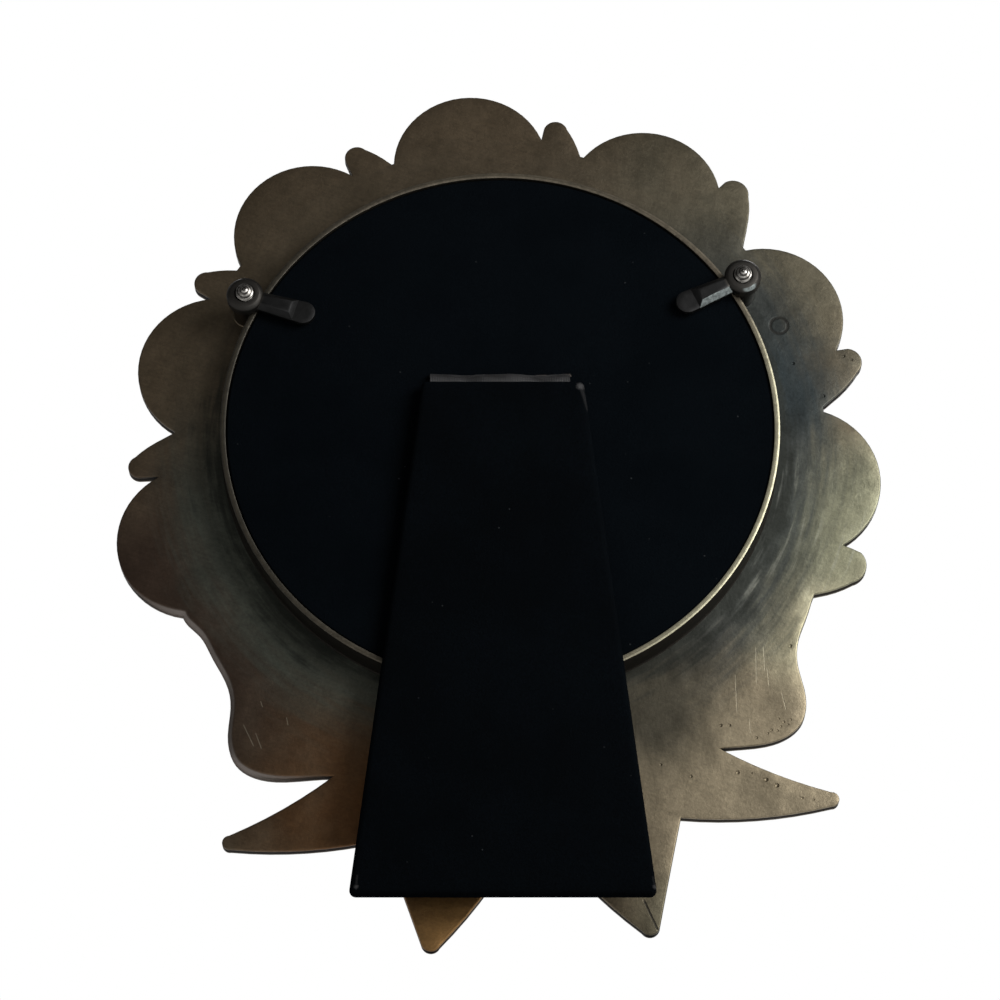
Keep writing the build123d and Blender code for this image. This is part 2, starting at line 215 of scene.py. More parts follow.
# Back, ribbons and strut
BACK_R = 44.85
BACK_EDGE = 0.3
VELVET_WAVE = 0.05
RIBBON_W = 23.0
RIBBON_T = 0.25
RIBBON_TAB = 12.0
RIBBON_BEND = 1.125
SLOT_HALF = (11.53, 0.36)
SLOT_RISE = 0.2
SLOT_STEP = 0.8
STRUT_SHIFT = 0.45
STRUT_HEAD = HINGE_V - 0.5
STRUT_L = 87.4
STRUT_TOP_W2 = 26.6 / 2
STRUT_FOOT_W2 = 48.0 / 2
STRUT_CORNER = 1.0
LINING_INSET = 0.7
LINING_T = 0.2
WORN_STRUT = (
    ((13.6, 4.5), (14.6, 0.0), 0.95, 0.45), ((-28.2, -77.6), (-27.9, -75.6), 0.5, 0.4),
    ((18.0, -81.0), (17.8, -79.2), 0.5, 0.3),
)
STAY_W = 10.0
STAY_T = 0.15
STAY_LEG = 14.0
STAY_FOLD_V = HINGE_V - 43.0

# Camera, looking up at the back from a little below: tilt found from the photo, distance set
CAMERA_FAR = 600.0
CAMERA_TILT = radians(23.5)
FOCAL_PX = 3660.0
PICTURE_PX = 1000.0
RIM_MIDDLE_PX = (499.0, 422.7)
SENSOR_MM = 36.0

# Light and floor: levels of the soft light all round, of the room in the metal, and of the floor's glow
SOFT_LEVEL = 0.22
ROOM_LEVEL = 0.16
ROOM_SPAN = (-0.8, -0.3)
FLOOR_GLOW = 0.38
GLOW_SPAN = (0.2, 1.0)
FLOOR_GREY = (0.62, 0.62, 0.62, 1.0)
FLOOR_HALF = 3.0

# For the finishes: the span that noise mostly keeps to, a wave texture's length at scale 1, and white
NOISE_SPAN = (0.3, 0.7)
WAVE_LENGTH = 0.314
WHITE = (255, 255, 255)


# Small tools for points

def row(points, turn=0.0):
    """Carry drawn points, turned about the opening, into the frame in metres."""
    u, v, w = np.asarray(points, float).T
    turned_u = u * cos(turn) - v * sin(turn)
    turned_v = u * sin(turn) + v * cos(turn)
    return np.column_stack([CENTRE_X - turned_u * MM, PLATE_Y + w * MM, CENTRE_Z + turned_v * MM])


def drawn(node):
    """Read a CAD node's points back as drawn points."""
    points = np.array([vertex.co for vertex in frame["nodes"][node].data.vertices])
    u = (CENTRE_X - points[:, 0]) / MM
    v = (points[:, 2] - CENTRE_Z) / MM
    w = (points[:, 1] - PLATE_Y) / MM
    return np.column_stack([u, v, w])


def ease(value, low, high):
    """Rise smoothly from 0 at low to 1 at high."""
    share = np.clip((np.asarray(value, float) - low) / (high - low), 0, 1)
    return share * share * (3 - 2 * share)


def polar(reach, angle):
    return np.array([reach * cos(angle), reach * sin(angle)])


def circle(radius, count=240, middle=(0.0, 0.0)):
    angles = np.linspace(0, tau, count, endpoint=False)
    return np.column_stack([middle[0] + radius * np.cos(angles), middle[1] + radius * np.sin(angles)])


def at_level(loop, w):
    return np.column_stack([loop, np.broadcast_to(w, len(loop))])


def unit(vectors):
    """Return vectors of length 1 in the same directions."""
    return vectors / np.linalg.norm(vectors, axis=-1, keepdims=True)


def inward(loop):
    """Return the direction into an anticlockwise loop at each of its points."""
    along = unit(np.roll(loop, -1, 0) - loop)
    normal = np.column_stack([-along[:, 1], along[:, 0]])
    mean = unit(normal + np.roll(normal, 1, 0))
    return mean / np.maximum((mean * normal).sum(1), 0.6)[:, None]


def spaced(loop, step):
    """Divide a loop's long runs, and drop points that lie almost on the one before."""
    kept = [loop[0]]
    for point in loop[1:]:
        if np.linalg.norm(point - kept[-1]) > step / 6:
            kept.append(point)
    points = []
    for start, end in zip(kept, kept[1:] + kept[:1]):
        runs = max(1, round(np.linalg.norm(end - start) / step))
        points += [start + (end - start) * run / runs for run in range(runs)]
    return np.array(points)


def rounded(corners, radius, count=6):
    """Return an anticlockwise outline with each corner turned into an arc."""
    corners = np.asarray(corners, float)
    points = []
    for before, corner, after in zip(np.roll(corners, 1, 0), corners, np.roll(corners, -1, 0)):
        back, on = unit(before - corner), unit(after - corner)
        half = np.arccos(np.clip(back @ on, -1, 1)) / 2
        middle = corner + unit(back + on) * radius / sin(half)
        start = corner + back * radius / np.tan(half) - middle
        turn = pi - 2 * half
        for place in range(count + 1):
            angle = turn * place / count
            spin = np.array([[cos(angle), -sin(angle)], [sin(angle), cos(angle)]])
            points.append(middle + spin @ start)
    return np.array(points)


def inside(points, loop):
    """Say which points lie inside a loop."""
    found = np.zeros(len(points), bool)
    u, v = points.T
    for (au, av), (bu, bv) in zip(loop, np.roll(loop, -1, 0)):
        spans = (av > v) != (bv > v)
        if spans.any():
            found[spans] ^= u[spans] < au + (v[spans] - av) * (bu - au) / (bv - av)
    return found


def rim_distance(points, loop):
    """Return how far points lie from a loop of close points."""
    tree = KDTree(len(loop))
    for place, (u, v) in enumerate(loop):
        tree.insert((u, v, 0), place)
    tree.balance()
    return np.array([tree.find((*point, 0))[2] for point in points])


# Small tools for meshes

class Shape:
    """Points and faces of one mesh, gathered part by part."""

    def __init__(self):
        self.points = np.zeros((0, 3))
        self.faces = []

    def add(self, points, faces):
        start = len(self.points)
        self.points = np.vstack([self.points, points])
        self.faces += [tuple(start + corner for corner in face) for face in faces]

    def loft(self, rings):
        """Add a skin over closed rings of equal count, facing out where they rise anticlockwise."""
        count = len(rings[0])
        faces = []
        for low in range(0, (len(rings) - 1) * count, count):
            for place in range(count):
                after = (place + 1) % count
                faces.append((low + place, low + after, low + count + after, low + count + place))
        self.add(np.vstack(rings), faces)

    def revolve(self, profile, middle=(0.0, 0.0), count=240):
        """Add a profile of radii and levels, turned about an axis out of the back."""
        self.loft([at_level(circle(radius, count, middle), w) for radius, w in profile])

    def cover(self, loop, holes, step, lift, flip=False):
        """Add a sheet inside a loop and outside its holes, at one level or where lift puts it."""
        flat, faces = fill(loop, holes, step)
        faces = [face[::-1] for face in faces] if flip else faces
        self.add(at_level(flat, lift(flat) if callable(lift) else lift), faces)


def fill(loop, holes, step):
    """Triangulate inside a loop and outside its holes, over an even grid of points."""
    rims = [loop, *holes]
    edges = []
    start = 0
    for rim in rims:
        count = len(rim)
        edges += [(start + place, start + (place + 1) % count) for place in range(count)]
        start += count
    fixed = np.vstack(rims)
    low, high = loop.min(0), loop.max(0)
    lines = np.arange(low[1], high[1], step * sin(pi / 3))
    across = np.arange(low[0], high[0], step)
    grid = np.array([(u + step / 2 * (line % 2), v) for line, v in enumerate(lines) for u in across])
    grid = grid[inside(grid, loop)]
    for hole in holes:
        grid = grid[~inside(grid, hole)]
    grid = grid[rim_distance(grid, fixed) > 0.55 * step]
    sites = np.vstack([fixed, grid])
    found = delaunay_2d_cdt([Vector(site) for site in sites], edges, [], 1, 1e-6)
    number = [origin[0] for origin in found[3]]
    faces = np.array([[number[corner] for corner in face] for face in found[2]])
    for hole in holes:
        faces = faces[~inside(sites[faces].mean(1), hole)]
    return sites, [tuple(face) for face in faces.tolist()]


def fillet(loop, into, radius, level, rising):
    """Return rings that round an edge: up from a wall to a flat level, or down from it."""
    rings = []
    for step in range(EDGE_STEPS + 1):
        angle = pi / 2 * step / EDGE_STEPS
        inset, drop = np.reshape(radius, (-1, 1)) * (1 - cos(angle)), radius * (1 - sin(angle))
        rings.append(at_level(loop + into * inset, level - drop if rising else level + drop))
    return rings if rising else rings[::-1]


def in_scene(name, data):
    """Add an object to the scene."""
    made = bpy.data.objects.new(name, data)
    bpy.context.scene.collection.objects.link(made)
    return made


def piece(name, shape, paint, nodes, body=None, turn=0.0, sharp=40):
    """Make one mesh piece from a drawn shape. It stands for these CAD nodes."""
    mesh = bpy.data.meshes.new(name)
    mesh.from_pydata(row(shape.points, turn).tolist(), [], shape.faces)
    welded = bmesh.new()
    welded.from_mesh(mesh)
    bmesh.ops.remove_doubles(welded, verts=welded.verts, dist=1e-7)
    welded.to_mesh(mesh)
    welded.free()
    mesh.shade_smooth()
    mesh.set_sharp_from_angle(angle=radians(sharp))
    mesh.materials.append(paint)
    made = in_scene(name, mesh)
    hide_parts(*nodes)
    if body:
        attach(made, body)
    return made


# Materials

def srgb(red, green, blue):
    """Turn a colour as a picture stores it, 0 to 255, into a linear one."""
    parts = np.array([red, green, blue]) / 255
    linear = np.where(parts <= 0.04045, parts / 12.92, ((parts + 0.055) / 1.055) ** 2.4)
    return (*linear.tolist(), 1.0)


class Nodes:
    """The nodes of a material or world in the making, with short ways to add and join them."""

    def __init__(self, owner):
        owner.use_nodes = True
        self.nodes = owner.node_tree.nodes
        self.links = owner.node_tree.links

    def put(self, socket, value):
        """Give a socket a node's output or a constant. A colour's parts are 0 to 255."""
        if isinstance(value, bpy.types.NodeSocket):
            self.links.new(value, socket)
        else:
            socket.default_value = srgb(*value) if socket.type == "RGBA" else value

    def add(self, kind, inputs=None, output=0, **settings):
        """Add a node and return one of its outputs."""
        node = self.nodes.new("ShaderNode" + kind)
        for name, value in settings.items():
            setattr(node, name, value)
        for socket, value in (inputs or {}).items():
            self.put(node.inputs[socket], value)
        return node.outputs[output]

    def math(self, operation, first, second=0.0, third=0.0):
        return self.add("Math", {0: first, 1: second, 2: third}, operation=operation)

    def times(self, first, second, plus=None):
        """Multiply two values, and add a third if there is one."""
        if plus is None:
            return self.math("MULTIPLY", first, second)
        return self.math("MULTIPLY_ADD", first, second, plus)

    def less(self, first, second):
        return self.math("SUBTRACT", first, second)

    def apart(self, first, second):
        return self.math("ABSOLUTE", self.less(first, second))

    def most(self, first, second):
        return self.math("MAXIMUM", first, second)

    def span(self, value, low, high, to_low=0.0, to_high=1.0, how="SMOOTHSTEP"):
        """Carry a value from one span to another, smoothly if nothing else is asked."""
        inputs = {"Value": value, "From Min": low, "From Max": high, "To Min": to_low, "To Max": to_high}
        return self.add("MapRange", inputs, interpolation_type=how)

    def fall(self, value, low, high, top=1.0):
        """Fall smoothly from a top level to 0 while a value goes from low to high."""
        return self.span(value, low, high, top, 0.0)

    def rays(self, *kinds):
        """Return 1 for rays of any of these kinds."""
        found = 0.0
        for kind in kinds:
            found = self.most(found, self.add("LightPath", output=f"Is {kind} Ray"))
        return found

    def open_up(self, share, shader):
        """Let light go straight through a surface, by a share."""
        inputs = {0: share, 1: shader.outputs[0], 2: self.add("BsdfTransparent")}
        self.put(self.nodes["Material Output"].inputs["Surface"], self.add("MixShader", inputs))


class Paint(Nodes):
    """A material in the making, with its shader and the drawn place of each point."""

    def __init__(self, name, metallic=0.0, roughness=0.5):
        self.made = bpy.data.materials.new(name)
        super().__init__(self.made)
        self.shader = self.nodes["Principled BSDF"]
        self.set("Metallic", metallic)
        self.set("Roughness", roughness)
        where = self.add("TexCoord", output="Object")
        shift = (CENTRE_X / MM, -PLATE_Y / MM, -CENTRE_Z / MM)
        scale = (-1 / MM, 1 / MM, 1 / MM)
        self.place = self.add("Mapping", {"Vector": where, "Location": shift, "Scale": scale})
        self.u, self.w, self.v = self.add("SeparateXYZ", {0: self.place}).node.outputs

    def set(self, socket, value):
        """Give one of the shader's sockets a constant or a node's output."""
        self.put(self.shader.inputs[socket], value)

    def finish(self, colour, normal, roughness=None):
        """Set what most materials have, and return the material."""
        self.set("Base Color", colour)
        self.set("Normal", normal)
        if roughness:
            self.set("Roughness", roughness)
        return self.made

    def stretched(self, size, turn):
        """Return the drawn place, turned in the plate's plane and divided by a size each way."""
        inputs = {"Vector": self.place, "Rotation": (0, turn, 0), "Scale": (size[0], 1.0, size[1])}
        return self.add("Mapping", inputs, vector_type="TEXTURE")

    def noise(self, size, detail=3.0, rough=0.55, where=None):
        """Return noise whose patches are about this many millimetres across."""
        inputs = {"Vector": where or self.place, "Scale": 1 / size, "Detail": detail, "Roughness": rough}
        return self.add("TexNoise", inputs)

    def wander(self, noise, low=0.0, high=1.0):
        """Return a level that follows a noise between two others."""
        return self.span(noise, *NOISE_SPAN, low, high)

    def ramp(self, value, places, colours):
        """Return the colour that a value has along a row of colours."""
        ramp = self.add("ValToRGB", {0: value}).node
        marks = ramp.color_ramp.elements
        while len(marks) < len(places):
            marks.new(0.5)
        for mark, place, colour in zip(marks, places, colours):
            mark.position = place
            mark.color = srgb(*colour)
        return ramp.outputs[0]

    def tones(self, noise, dark, light, places=NOISE_SPAN):
        """Return a colour that follows a noise from dark to light."""
        return self.ramp(noise, places, (dark, light))

    def mix(self, share, first, second, how="MIX"):
        inputs = {0: share, 6: first, 7: second}
        return self.add("Mix", inputs, output=2, data_type="RGBA", blend_type=how)

    def lay(self, tone, colour, share, *masks):
        """Lay a colour over another by a share, inside the masks."""
        for mask in masks:
            share = self.times(share, mask)
        return self.mix(share, tone, colour)

    def far(self, middle=(0.0, 0.0)):
        """Return the distance from a drawn place."""
        du, dv = self.less(self.u, middle[0]), self.less(self.v, middle[1])
        return self.math("SQRT", self.times(du, du, plus=self.times(dv, dv)))

    def spot(self, middle, low, high, shake=None):
        """Return a patch: 1 round a drawn place, falling to 0 between two distances."""
        reach = self.far(middle)
        return self.fall(self.math("ADD", reach, shake) if shake else reach, low, high)

    def stroke(self, start, end, half):
        """Return a thin drawn line: 1 along it, 0 away from it, fading at its ends."""
        (au, av), (bu, bv) = start, end
        long = hypot(bu - au, bv - av)
        way_u, way_v = (bu - au) / long, (bv - av) / long
        du, dv = self.less(self.u, au), self.less(self.v, av)
        off = self.times(du, way_v, plus=self.times(dv, -way_u))
        along = self.times(du, way_u, plus=self.times(dv, way_v))
        line = self.fall(self.math("ABSOLUTE", off), half * 0.3, half)
        return self.times(line, self.fall(self.apart(along, long / 2), long * 0.4, long * 0.5))

    def bump(self, height, depth, under=None):
        """Raise the surface by a height of 0 to 1, this many millimetres deep."""
        inputs = {"Strength": 1.0, "Distance": depth * MM, "Height": height}
        if under:
            inputs["Normal"] = under
        return self.add("Bump", inputs)


def round_streaks(paint, reach):
    """Return streaks that run round the collar, as left by a brush or a cloth."""
    around = [paint.math("DIVIDE", part, paint.times(reach, 0.25)) for part in (paint.u, paint.v)]
    where = paint.add("CombineXYZ", {0: around[0], 1: around[1], 2: paint.times(reach, 0.9)})
    return paint.noise(1.0, detail=4.0, where=where)


def by_the_collar(paint, tone, shake, back):
    """Return a tone with what lies round the collar: streaked grey-green, a dark line of painted shade at its
    foot, a painted shadow of the strut with some soot, and rubbed streaks.
    """
    reach = paint.far()
    swept = round_streaks(paint, reach)
    streaked = paint.times(paint.less(swept, 0.5), 12.0, plus=reach)
    ragged = paint.times(shake, SOFT_SHAKE, plus=streaked)
    low = paint.times(back, paint.span(paint.times(paint.u, -0.35, plus=paint.v), 4.0, 34.0, 1.0, 0.12))
    tint = paint.mix(paint.span(paint.u, -30.0, 30.0), (74, 78, 70), (46, 50, 50))
    tone = paint.lay(tone, tint, paint.fall(ragged, 48.5, 61.0, 0.9), low)
    soft = paint.times(shake, SOFT_SHAKE)
    tone = paint.lay(tone, (37, 44, 46), paint.spot(BLUE_SPOT, 3.0, 15.0, soft), back, 0.9)
    # A painted shadow of the strut, with some soot, darkens the back beside it.
    tone = paint.lay(tone, (62, 58, 48), paint.spot(SOOT_AND_STRUT_SHADOW, 3.0, 17.0, soft), back)
    # Painted shade: a dark line along the collar's foot, strongest low down.
    near = paint.times(back, paint.span(paint.v, 10.0, 30.0, 1.0, 0.1))
    tone = paint.lay(tone, (36, 38, 34), paint.fall(ragged, 46.0, 50.5, 0.78), near)
    light = paint.span(swept, 0.56, 0.72, 0.0, 0.24)
    return paint.lay(tone, (140, 141, 132), light, paint.spot(SWEPT_SPOT, 8.0, 24.0), back)


def patina(paint, cloud, grain, back):
    """Return the colours of the old bronze: brown, with warm and dark patches, lighter patches low on the
    right that are partly rubbed metal and partly painted light, a darker left that is partly tarnish and
    partly painted shade, and a fine mottle.

    The front, where back is 0, has only the brown."""
    shake = paint.times(paint.less(cloud, 0.5), 30.0)
    tone = PLAIN_BROWN
    for middle, reach, share, is_ragged, colour in PATCHES.values():
        tone = paint.lay(tone, colour, paint.spot(middle, *reach, shake if is_ragged else None), share)
    tone = by_the_collar(paint, tone, shake, back)
    brushed = paint.noise(1.0, detail=3.0, where=paint.stretched((5.0, 0.35), radians(24)))
    mottle = paint.noise(1.7, detail=6.0, rough=0.72)
    fine = paint.tones(grain, (150, 150, 150), (215, 215, 215))
    middling = paint.tones(mottle, (152, 152, 150), (214, 214, 214), (0.36, 0.64))
    streaks = paint.tones(brushed, (130, 130, 132), (220, 219, 216))
    for share, layer in ((0.4, fine), (0.3, middling), (0.16, streaks)):
        tone = paint.mix(share, tone, layer, "OVERLAY")
    return paint.mix(back, paint.tones(cloud, (88, 74, 55), (112, 97, 73)), tone)


def bronze():
    """Cast bronze: worn patina with scratches, a fold line, dark hollows and rubbed heights."""
    paint = Paint("antique_bronze", metallic=0.85)
    cloud = paint.noise(16.0, detail=5.0, rough=0.6)
    grain = paint.noise(0.55, detail=4.0, rough=0.65)
    back = paint.span(paint.w, -2.2, -1.2)
    tone = patina(paint, cloud, grain, back)
    lines = 0.0
    for start, end in SCRATCHES:
        lines = paint.most(lines, paint.stroke(start, end, SCRATCH_HALF))
    lines = paint.times(lines, back)
    tone = paint.lay(tone, (150, 144, 126), lines, 0.3)
    fold = paint.times(paint.stroke(*CREASE, CREASE_HALF), back)
    ring = paint.times(paint.fall(paint.apart(paint.far(PIN_MARK), PIN_MARK_R), 0.1, 0.4), back)
    tone = paint.lay(tone, (30, 28, 25), paint.most(fold, paint.times(ring, 0.85)), 0.85)
    # Painted shade: the stud posts, which stand out of the back under the clips, are darkened.
    tone = paint.lay(tone, (38, 35, 31), paint.span(paint.w, 0.05, 0.4, 0.0, 0.8))
    wear = paint.add("Attribute", output="Fac", attribute_name="wear")
    tone = paint.lay(tone, (30, 25, 21), paint.span(wear, 0.0, -0.5))
    tone = paint.lay(tone, (176, 158, 124), paint.span(wear, 0.05, 0.7, 0.0, 0.7))
    side = paint.times(paint.span(paint.w, -0.3, -0.45, 0.0, 0.9), back)
    tone = paint.lay(tone, (36, 31, 25), side)
    paint.set("Specular Tint", paint.mix(side, WHITE, (60, 54, 46)))
    edge = paint.span(paint.w, -0.01, -0.14, 0.0, 0.9)
    tone = paint.lay(tone, (110, 103, 98), paint.spot(PALE_EDGE, *PALE_REACH), edge, back)
    bump = paint.bump(paint.noise(9.0, detail=2.0), 0.3)
    bump = paint.bump(grain, 0.03, bump)
    bump = paint.bump(paint.most(ring, paint.times(lines, 0.3)), -0.025, bump)
    bump = paint.bump(fold, -0.12, bump)
    return paint.finish(tone, bump, paint.wander(cloud, 0.38, 0.5))


def collar_brass():
    """Brass ring: a wall painted nearly black, partly dark patina and partly painted shade, and a flat rim
    painted darker to the left as shade and lighter to the right, where a spot is partly brass worn clean and
    partly a painted highlight.
    """
    paint = Paint("collar_brass", metallic=0.8)
    spots = paint.noise(0.9, detail=5.0, rough=0.7)
    # The wall's near-black is partly dark patina and partly painted shade.
    wall = paint.tones(spots, (17, 15, 12), (31, 27, 20))
    left = paint.tones(spots, (42, 40, 35), (68, 64, 56))
    top = paint.tones(spots, (76, 70, 60), (108, 100, 86))
    bare_glint = paint.tones(spots, (124, 120, 100), (158, 154, 131))
    # Painted shade: the rim darkens towards the left, away from the light. The bright spot is partly worn
    # brass and partly a painted highlight.
    rim = paint.mix(paint.span(paint.u, -44.0, 0.0), left, top)
    rim = paint.lay(rim, bare_glint, paint.spot(BRIGHT_RIM, 22.0, 46.0))
    groove = paint.apart(paint.far(), RIM_GROOVE_R)
    rim = paint.lay(rim, (70, 64, 50), paint.fall(groove, 0.04, 0.12, 0.55))
    worn = paint.span(paint.times(spots, 0.1, plus=paint.w), RIM_W - 0.12, RIM_W + 0.02)
    grain = paint.bump(paint.noise(0.5), 0.02)
    return paint.finish(paint.mix(worn, wall, rim), grain, paint.span(worn, 0.0, 1.0, 0.65, 0.4))


def stud_steel(side):
    """Turned steel, dulled, darker in the thread's grooves."""
    paint = Paint(f"{side}_stud_steel", metallic=1.0)
    spots = paint.noise(0.5, detail=4.0)
    steel = paint.tones(spots, (96, 93, 88), (148, 145, 140), (0.32, 0.62))
    grooves = paint.math("COSINE", paint.times(paint.far(stud_middle(side)), tau / RING_STEP))
    tone = paint.lay(steel, (34, 32, 30), paint.span(grooves, 0.2, -0.5, 0.0, 0.85))
    return paint.finish(tone, paint.bump(paint.noise(0.2), 0.01), paint.wander(spots, 0.24, 0.38))


def dark_nickel(side):
    """Dark plated metal with a fine, dull grain, and a painted glint, broken into patches, on the flank that
    faces the light, most on the right clip.
    """
    paint = Paint(f"{side}_dark_nickel", metallic=1.0)
    tone = paint.tones(paint.noise(1.3, detail=5.0, rough=0.6), (32, 32, 32), (39, 39, 39))
    tone = paint.lay(tone, (51, 49, 46), paint.fall(paint.far(stud_middle(side)), HUB_R, HUB_R + 0.3, 0.8))
    way = paint.add("TexCoord", output="Normal")
    # Painted highlight: the flank that faces the light gets a pale, glossier tone, which the noise breaks
    # into patches.
    facing = paint.add("VectorMath", {0: way, 1: GLINT_FLANK}, output="Value", operation="DOT_PRODUCT")
    flank = paint.span(facing, 0.93, 0.985, 0.0, GLINT_SHARE[side])
    rubbed = paint.span(paint.noise(0.6, detail=5.0, rough=0.75), 0.38, 0.6, 0.4, 1.0)
    bare_glint = paint.times(flank, rubbed)
    tone = paint.lay(tone, (120, 127, 126), bare_glint)
    grain = paint.bump(paint.noise(0.35, detail=4.0), 0.02)
    return paint.finish(tone, grain, paint.span(bare_glint, 0.0, 1.0, 0.52, 0.3))


def velvet(name, low, high, worn=()):
    """Near-black velvet with a short nap, brushed patches and lint, and places rubbed from point to point."""
    paint = Paint(name, roughness=1.0)
    nap = paint.noise(0.3, detail=3.0, rough=0.7)
    patch = paint.noise(14.0, detail=3.0)
    pile = paint.tones(nap, low, high, (0.25, 0.75))
    pile = paint.lay(pile, low, paint.span(patch, 0.35, 0.7, 0.0, 0.6))
    lint = paint.add("TexVoronoi", {"Vector": paint.place, "Scale": 0.42, "Randomness": 1.0})
    rare = paint.span(paint.noise(7.0, detail=0.0), 0.6, 0.66)
    pile = paint.lay(pile, (44, 46, 47), paint.fall(lint, 0.03, 0.075, 0.7), rare)
    for start, end, radius, share in worn:
        reach = paint.times(nap, radius, plus=paint.far(start))
        spot = paint.fall(reach, 0.6 * radius, 1.5 * radius, share)
        streak = paint.times(paint.stroke(start, end, radius / 2), share * 0.2)
        pile = paint.lay(pile, (84, 83, 83), paint.most(spot, streak))
    paint.set("Specular IOR Level", 0.0)
    paint.set("Sheen Weight", 0.004)
    paint.set("Sheen Roughness", 0.5)
    paint.set("Sheen Tint", (170, 190, 215))
    return paint.finish(pile, paint.bump(patch, 0.15, paint.bump(nap, 0.12)))


def weave(paint, size):
    """Return the height of a plain weave whose threads are this wide."""
    place = paint.add("Mapping", {"Vector": paint.place, "Rotation": (0, BACK_TURN, 0)})
    step = {"Vector": place, "Scale": 1 / size / 2 * WAVE_LENGTH, "Distortion": 0.4, "Detail": 1.0}
    warp, weft = (paint.add("TexWave", step, output="Fac", bands_direction=way) for way in "XZ")
    return paint.most(warp, weft)


def cloth(name, low, high, size, sheen):
    """Woven ribbon or lining cloth."""
    paint = Paint(name, roughness=0.6)
    threads = weave(paint, size)
    crush = paint.noise(2.4, detail=4.0)
    tone = paint.lay(paint.mix(crush, low, high), (8, 8, 9), paint.fall(threads, 0.1, 0.9, 0.35))
    paint.set("Sheen Weight", sheen)
    bump = paint.bump(crush, 0.1, paint.bump(threads, 0.05))
    return paint.finish(tone, bump, paint.wander(crush, 0.42, 0.66))


def card(name, low, high, size):
    """Pressed card or paper with fibres and specks."""
    paint = Paint(name, roughness=0.85)
    fibre = paint.noise(1.0, detail=5.0, where=paint.stretched((size * 4, size), radians(30)))
    speck = paint.noise(size, detail=5.0, rough=0.7)
    tone = paint.mix(paint.wander(fibre), low, high)
    tone = paint.lay(tone, [part * 0.6 for part in low], paint.span(speck, 0.6, 0.72, 0.0, 0.5))
    return paint.finish(tone, paint.bump(speck, 0.04), paint.wander(fibre, 0.72, 0.95))


def photo_paper():
    """A blank sepia print: pale in the middle, darker to its edge, on a lightly grained paper."""
    paint = Paint("photo_paper", roughness=0.4)
    mottle = paint.noise(6.0, detail=4.0)
    reach = paint.times(mottle, 9.0, plus=paint.far((0.0, 3.0)))
    sepia = ((226, 216, 196), (198, 184, 158), (132, 114, 92))
    tone = paint.ramp(paint.span(reach, 6.0, 50.0), (0.0, 0.55, 1.0), sepia)
    return paint.finish(tone, paint.bump(paint.noise(0.4), 0.015), paint.wander(mottle, 0.34, 0.46))


def clear_glass():
    """Thin clear picture glass with a faint smear, which lets the lamps light the print behind it."""
    paint = Paint("picture_glass", roughness=0.02)
    paint.set("Base Color", (246, 250, 248))
    paint.set("Transmission Weight", 1.0)
    paint.set("IOR", 1.5)
    paint.set("Roughness", paint.span(paint.noise(11.0, detail=4.0), 0.55, 0.75, 0.01, 0.07))
    paint.open_up(paint.rays("Shadow", "Diffuse"), paint.shader)
    return paint.made


# Casting

def back_outline():
    """Return the plate's outline, read from the casting's back face, anticlockwise as seen from behind."""
    points = drawn("frame_casting")
    flat = np.abs(points[:, 2]) < 0.001
    keys = [tuple(point) for point in np.round(points[:, :2], 3)]
    edges = set()
    for polygon in frame["nodes"]["frame_casting"].data.polygons:
        corners = list(polygon.vertices)
        if all(flat[corner] for corner in corners):
            edges |= {(keys[a], keys[b]) for a, b in zip(corners, corners[1:] + corners[:1])}
    border = {a: b for a, b in edges if (b, a) not in edges}
    start = max(border)
    loop = [start]
    while border[loop[-1]] != start:
        loop.append(border[loop[-1]])
    return spaced(np.array(loop), OUTLINE_STEP)


def rose_middles():
    """Return the middle of each bud, read from the front of the casting, by angle."""
    points = drawn("frame_casting")
    tops = points[points[:, 2] < points[:, 2].min() + 0.01][:, :2]
    turns = (np.arctan2(tops[:, 1], tops[:, 0]) + pi / 2) % tau
    tops = tops[np.argsort(turns)]
    breaks = np.where(np.linalg.norm(np.diff(tops, axis=0), axis=1) > 3 * BUD_R)[0] + 1
    return [group.mean(0) for group in np.split(tops, breaks)]


def along_and_across(du, dv, angle):
    """Return how far points lie along a direction and across it."""
    return du * cos(angle) + dv * sin(angle), dv * cos(angle) - du * sin(angle)


def rose_rise(u, v, middle, spin):
    """Return the height of one rose: cupped petals in tiers round a rolled bud."""
    du, dv = u - middle[0], v - middle[1]
    reach, turn = np.hypot(du, dv), np.arctan2(dv, du)
    roll = 0.28 * np.cos(reach * 5.2 - turn)
    rise = (BUD_H - 0.6 + roll) * ease(reach, BUD_R, BUD_R * 0.72)
    for tier, (count, radius, out, height) in enumerate(PETAL_TIERS):
        for place in range(count):
            angle = spin + (place + tier / 2) * tau / count
            along, across = along_and_across(du, dv, angle)
            along = along - out
            edge = np.hypot(along, across) / radius / (1 + 0.04 * np.cos(3 * np.arctan2(across, along)))
            cup = 0.80 + 0.16 * np.clip(edge, 0, 1) ** 3 + 0.07 * across / radius
            rise = np.maximum(rise, height * cup * ease(edge, 1.0, 0.8))
    return rise


def leaf_rise(u, v, tip_angle, tip_reach, wide):
    """Return the height of one leaf: domed, with a middle rib and slanting veins."""
    tip = polar(tip_reach, tip_angle)
    stem = tip_angle + pi + LEAF_LEAN
    along, across = along_and_across(u - tip[0], v - tip[1], stem)
    half = LEAF_HALF * wide * np.sin(pi * np.clip(along / LEAF_L, 0.001, 0.999) ** 0.78)
    share = np.abs(across) / np.maximum(half, 0.1)
    rib = 0.4 * np.exp(-(across / 0.45) ** 2)
    veins = 0.16 * np.cos(tau * (along + 0.9 * np.abs(across)) / 2.3) * ease(share, 0.05, 0.3)
    body = LEAF_H * (0.72 + 0.28 * (1 - np.clip(share, 0, 1) ** 2)) + rib + veins
    return body * ease(share, 1.04, 0.78) * ease(along, 0.0, 0.9) * ease(along, LEAF_L, LEAF_L - 0.9)


